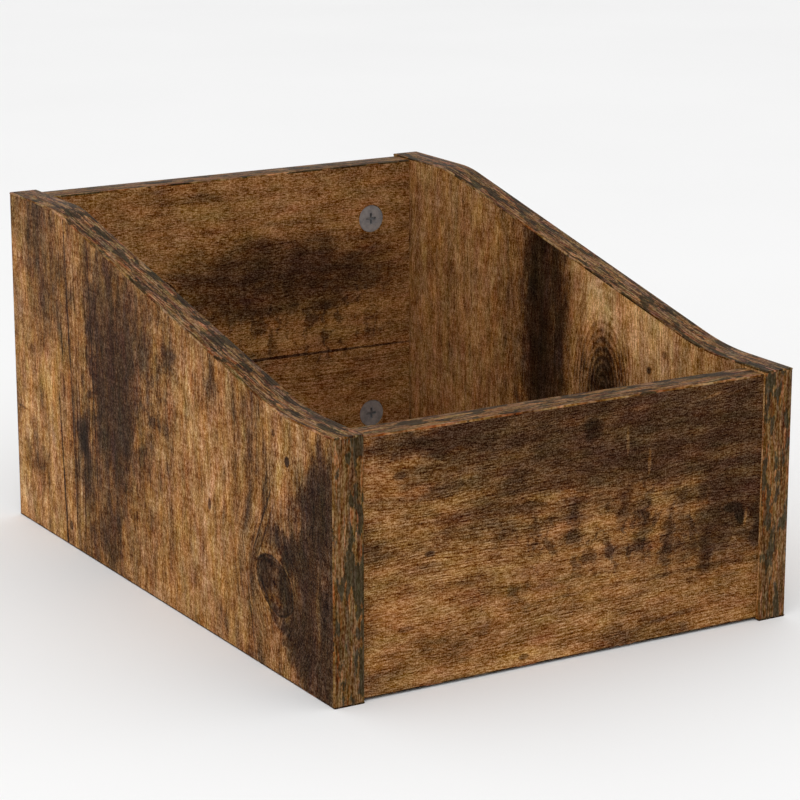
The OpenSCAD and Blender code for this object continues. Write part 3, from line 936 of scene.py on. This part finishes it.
def straightStrip(name, outward, material):
    # a bar of the CAD strip's size whose two long outer edges are rounded
    low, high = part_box(name)
    side = "xyz".index(outward[1])
    face = high[side] if outward[0] == "+" else low[side]
    length = max(high - low)
    bpy.ops.mesh.primitive_cube_add(size=1, location=(low + high) / 2, scale=high - low)
    piece = bpy.context.active_object
    piece.name = name.replace("edging", "strip")
    bpy.ops.object.transform_apply(location=True, rotation=True, scale=True)

    def longOuter(first, second):
        onFace = all(abs(end[side] - face) < 1e-6 for end in (first, second))
        return onFace and (first - second).length > 0.9 * length

    editMode(piece)
    pickEdges(piece, longOuter)
    bpy.ops.mesh.bevel(offset=edging["arris"], segments=edging["arrisSteps"])
    bpy.ops.object.mode_set(mode="OBJECT")
    finishStrip(piece, name, material)


# The side boards' top edge, in metres. Its heights, depth and width come from the frame.
sweep = {
    "frontLevel": 0.033,
    "hollow": 0.155,  # radius
    "crown": 0.080,  # radius
    "rearLevel": 0.047,
    "turns": 16,  # steps of each arc
}


def pushOn(length, slope):
    move = (0, length * math.cos(slope), length * math.sin(slope))
    bpy.ops.mesh.extrude_region_move(TRANSFORM_OT_translate={"value": move})


def topStrip(name, material):
    # a rounded cross-section pushed along the level, the hollow, the slope, the crown and the rear level
    low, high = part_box(name)
    thick = edging["thick"]
    frontHeight = low.z + thick
    hollow = Vector((0, low.y + sweep["frontLevel"], frontHeight + sweep["hollow"]))
    crown = Vector((0, high.y - sweep["rearLevel"], high.z - sweep["crown"]))
    gap = crown - hollow
    radii = sweep["hollow"] + sweep["crown"]
    # the slope touches both arcs
    slope = math.atan2(gap.z, gap.y) + math.asin(radii / gap.length)
    run = math.sqrt(gap.length_squared - radii ** 2)
    start = ((low.x + high.x) / 2, low.y, frontHeight - thick / 2)
    bpy.ops.mesh.primitive_plane_add(size=1, location=start, rotation=(math.radians(90), 0, 0))
    piece = bpy.context.active_object
    piece.name = name.replace("edging", "strip")
    piece.scale = (high.x - low.x, thick, 1)
    bpy.ops.object.transform_apply(location=True, rotation=True, scale=True)
    editMode(piece)
    bpy.ops.mesh.select_all(action="DESELECT")
    bpy.ops.object.mode_set(mode="OBJECT")
    for corner in piece.data.vertices:
        corner.select = corner.co.z > frontHeight - thick / 2
    bpy.ops.object.mode_set(mode="EDIT")
    bpy.ops.mesh.select_mode(type="VERT")
    bpy.ops.mesh.bevel(offset=edging["arris"], segments=edging["arrisSteps"], affect="VERTICES")
    bpy.ops.mesh.select_all(action="SELECT")
    bpy.ops.mesh.select_mode(type="FACE")
    pushOn(sweep["frontLevel"], 0)
    # spin turns clockwise
    bpy.ops.mesh.spin(steps=sweep["turns"], angle=-slope, center=hollow, axis=(1, 0, 0))
    pushOn(run, slope)
    bpy.ops.mesh.spin(steps=sweep["turns"], angle=slope, center=crown, axis=(1, 0, 0))
    pushOn(sweep["rearLevel"], 0)
    bpy.ops.mesh.select_all(action="SELECT")
    bpy.ops.mesh.remove_doubles(threshold=1e-6)
    bpy.ops.mesh.normals_make_consistent(inside=False)
    bpy.ops.object.mode_set(mode="OBJECT")
    finishStrip(piece, name, material)


# The left and right strips differ by the seed's step, and so do the front and back ones.
# Bold is the share of the bands, lines and hues, bright is added to the tone.
strips = {
    "side": {
        "top": {
            "finish": "TopEdging",
            "order": "YXZ",
            "outward": None,  # it follows the sweep
            "bright": 0.02,
            "bold": 1.5,
            "burnt": "char",
            "seed": (2.2, 5.1, 0),
            "step": (1, 0, 0),
        },
        "front": {
            "finish": "FrontEdging",
            "order": "ZXY",
            "outward": "-y",
            "bright": 0.0,
            "bold": 1.0,
            "burnt": "coal",
            "seed": (7.4, 1.2, 0),
            "step": (1, 0, 0),
        },
        "rear": {
            "finish": "RearEdging",
            "order": "ZXY",
            "outward": "+y",
            "bright": 0.0,
            "bold": 1.0,
            "burnt": "coal",
            "seed": (12.8, 3.3, 0),
            "step": (1, 0, 0),
        },
        "bottom": {
            "finish": "BottomEdging",
            "order": "YXZ",
            "outward": "-z",
            # much darker, a thin dark line along the bottom edge
            "bright": -0.36,
            "bold": 1.0,
            "burnt": "char",
            "seed": (16.1, 6.7, 0),
            "step": (1, 0, 0),
        },
    },
    "panel": {
        "top": {
            "finish": "BoardTopEdging",
            "order": "XYZ",
            "outward": "+z",
            "bright": 0.05,
            "bold": 1.35,
            "burnt": "char",
            "seed": (21.5, 0, 0),
            "step": (0, 17.5556, 0),
        },
        "bottom": {
            "finish": "BoardBottomEdging",
            "order": "XYZ",
            "outward": "-z",
            # much darker, a thin dark line along the bottom edge
            "bright": -0.36,
            "bold": 1.0,
            "burnt": "char",
            "seed": (25.5, 0, 0),
            "step": (0, 22.5714, 0),
        },
    },
}
walls = (("left", "side", -1), ("right", "side", 1), ("front", "panel", -1), ("back", "panel", 1))
stripCount = 0
for wall, kind, way in walls:
    for edge, strip in strips[kind].items():
        name = "%s_%s_%s_edging" % (wall, kind, edge)
        seed = moved(strip["seed"], [way * part for part in strip["step"]])
        finish = edgingFinish(wall + strip["finish"], name, strip, seed)
        if strip["outward"]:
            straightStrip(name, strip["outward"], finish)
        else:
            topStrip(name, finish)
        stripCount += 1
print("edging strips modelled: %d" % stripCount)


def metalFinish(name, look):
    material, tree, shader = newFinish(name, look["specular"], look["metallic"])
    place = millimetres(tree, "XYZ")
    grain = cloud(tree, place, look["grain"])
    patches = cloud(tree, place, look["patches"], look["seed"])
    shade = rampOf(tree, patches, look["shades"])
    rough = spread(tree, patches, *look["patchRange"], *look["roughness"])
    closeFinish(tree, shader, shade, rough, grain, look["relief"])
    return material


def woodFinish(name, look):
    material, tree, shader = newFinish(name, look["specular"])
    place = millimetres(tree, "XYZ")
    grain = cloud(tree, place, look["grain"])
    flecks = spread(tree, cloud(tree, place, look["flecks"], look["seed"]), *look["flecksFrom"])
    tone = calc(tree, "MULTIPLY_ADD", flecks, -look["fleckDark"], grain)
    shade = rampOf(tree, tone, look["shades"])
    rough = spread(tree, tone, *look["toneRange"], *look["roughness"])
    closeFinish(tree, shader, shade, rough, grain, look["relief"])
    return material


# Cams of dull cast zinc
cams = {
    "specular": 0.5,
    "metallic": 0.6,
    "roughness": (0.6, 0.42),  # in the dark patches and in the pale ones
    "relief": 0.05,  # millimetres
    "grain": ((0.35, 0.35, 0.35), 3, 0.6),
    "patches": ((4, 4, 4), 3, 0.6),
    "patchRange": (0.3, 0.7),
    "seed": (3, 1, 2),
    "shades": [(0.3, (132, 132, 134)), (0.65, (172, 172, 173))],
}

# Cam bolts of bright plated steel, with the fine rings of turning
bolts = {
    "specular": 0.5,
    "metallic": 0.9,
    "roughness": (0.42, 0.24),
    "relief": 0.02,
    "grain": ((0.2, 0.9, 0.9), 3, 0.6),
    "patches": ((4, 4, 4), 3, 0.6),
    "patchRange": (0.3, 0.7),
    "seed": (3, 1, 2),
    "shades": [(0.3, (158, 156, 150)), (0.65, (196, 196, 194))],
}

# Dowels of raw beech, whose grain runs across the crate as they do
dowels = {
    "specular": 0.25,
    "roughness": (0.68, 0.56),
    "relief": 0.06,
    "grain": ((9, 0.5, 0.5), 3, 0.6),
    "flecks": ((3, 0.35, 0.9), 1, 0.5),
    "flecksFrom": (0.58, 0.68),
    "fleckDark": 0.2,
    "toneRange": (0.2, 0.8),
    "seed": (5, 2, 1),
    "shades": [(0.25, (176, 134, 88)), (0.6, (214, 176, 128))],
}
fittings = {
    "_cams": metalFinish("castZinc", cams),
    "_cam_bolts": metalFinish("platedSteel", bolts),
    "_dowels": woodFinish("beech", dowels),
}
for name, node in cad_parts.items():
    for ending, material in fittings.items():
        if name.endswith(ending):
            wear(node, material)
print("fittings: %d finishes" % len(fittings))


# Floor and light
studio = {
    "floorSize": 30,
    "floorSpecular": 0.1,
    "floorRoughness": 0.9,
    "floorShades": [(0.3, (241, 241, 241)), (0.7, (243, 243, 243))],
    "dust": ((300, 300, 300), 2, 0.5),
    "sky": 0.96,
    "keyPower": 34,
    "keySize": 2.6,
    "keyPlace": (-1.9, -2.1, 2.6),
    "keyAim": (0, 0, 0.08),
}
bpy.ops.mesh.primitive_plane_add(size=studio["floorSize"], location=(0, 0, 0))
floor = bpy.context.active_object
floor.name = "paleFloor"
floorFinish, floorTree, floorShader = newFinish("paleFloor", studio["floorSpecular"])
floorDust = cloud(floorTree, millimetres(floorTree, "XYZ"), studio["dust"])
feed(floorTree, floorShader.inputs["Base Color"], rampOf(floorTree, floorDust, studio["floorShades"]))
floorShader.inputs["Roughness"].default_value = studio["floorRoughness"]
wear(floor, floorFinish)

world = bpy.data.worlds.new("studio")
world.use_nodes = True
world.node_tree.nodes["Background"].inputs["Color"].default_value = (1, 1, 1, 1)
world.node_tree.nodes["Background"].inputs["Strength"].default_value = studio["sky"]
bpy.context.scene.world = world

keyData = bpy.data.lights.new("key", "AREA")
keyData.energy = studio["keyPower"]
keyData.size = studio["keySize"]
key = bpy.data.objects.new("key", keyData)
key.location = studio["keyPlace"]
key.rotation_euler = (Vector(studio["keyAim"]) - key.location).to_track_quat("-Z", "Y").to_euler()
bpy.context.scene.collection.objects.link(key)
bpy.context.scene.view_settings.view_transform = "Standard"
print("floor and light set")
